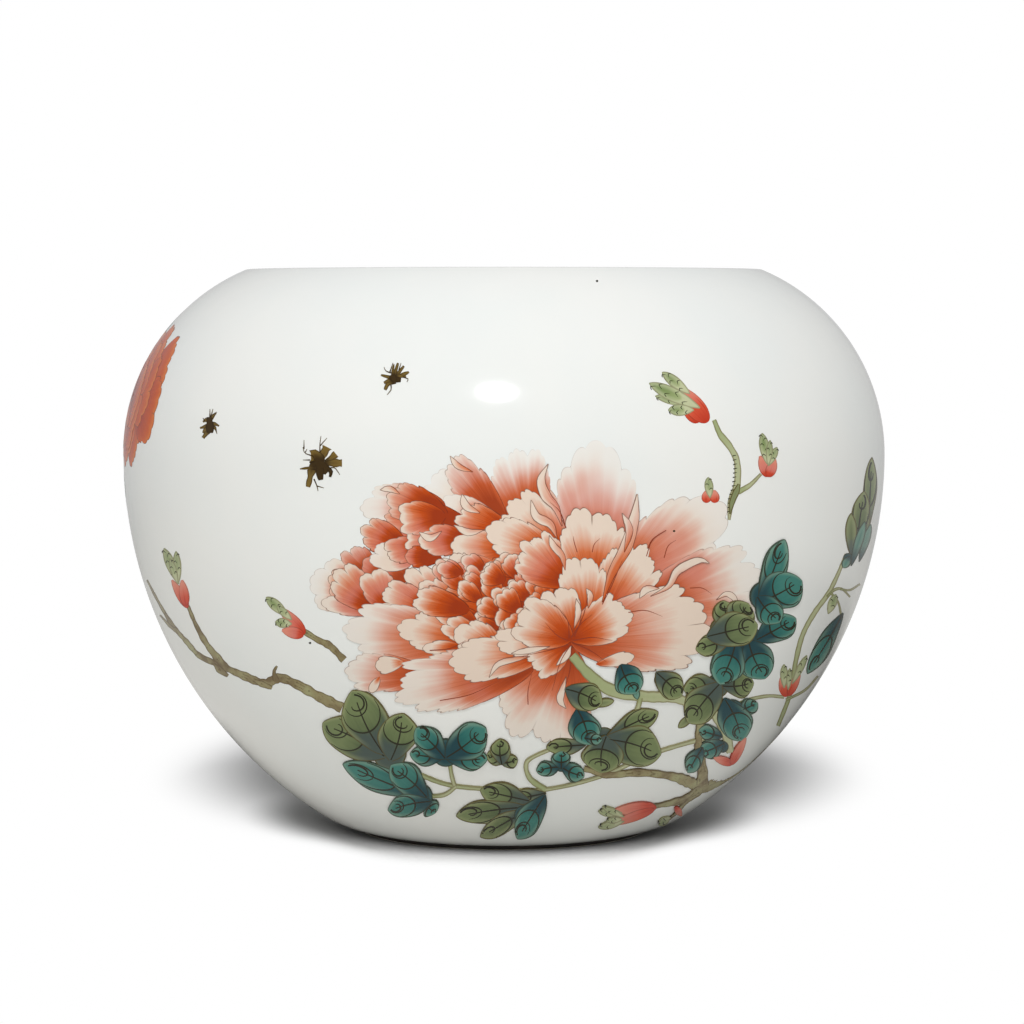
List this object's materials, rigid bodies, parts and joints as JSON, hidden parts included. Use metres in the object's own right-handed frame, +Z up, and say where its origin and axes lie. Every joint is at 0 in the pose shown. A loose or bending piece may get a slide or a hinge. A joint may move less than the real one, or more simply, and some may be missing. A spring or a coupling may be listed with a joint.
{
  "type": "porcelain water coupe",
  "caption": "Globular porcelain water pot with a wide mouth and a full shoulder, tapering to a low foot ring, painted over the glaze with a peony spray and bees",
  "frame": {"origin": "on the table under the centre of the foot ring", "axes": "+Z up along the axis of the pot, the front with the peony faces -Y, +X to the right seen from the front"},
  "size_m": [0.1202, 0.1204, 0.0886],
  "materials": {
    "biscuit": "unglazed white porcelain, satin, seen only on the foot ring",
    "clear_glaze": "glossy clear glaze over white porcelain",
    "enamel_pale_pink": "glossy overglaze enamel, pink to cream",
    "enamel_rose": "glossy overglaze enamel, rose to cream",
    "enamel_iron_red": "glossy overglaze iron red",
    "enamel_orange": "glossy overglaze orange red",
    "enamel_green": "glossy overglaze leaf green",
    "enamel_blue": "glossy overglaze blue green",
    "enamel_olive": "glossy overglaze olive brown",
    "enamel_light_green": "glossy overglaze pale green",
    "enamel_coral": "glossy overglaze coral red",
    "enamel_sepal": "glossy overglaze sepal green",
    "enamel_dark": "glossy overglaze dark brown"
  },
  "bodies": {
    "root": {"porcelain_body": "biscuit", "outer_glaze": "clear_glaze", "inner_glaze": "clear_glaze", "base_glaze": "clear_glaze", "peony_outer_petals": "enamel_pale_pink", "peony_inner_petals": "enamel_rose", "peony_heart": "enamel_iron_red", "red_blossom": "enamel_orange", "green_leaves": "enamel_green", "blue_leaves": "enamel_blue", "branches": "enamel_olive", "leaf_stalks": "enamel_light_green", "buds": "enamel_coral", "bud_sepals": "enamel_sepal", "bees": "enamel_dark"}
  },
  "joints": []
}
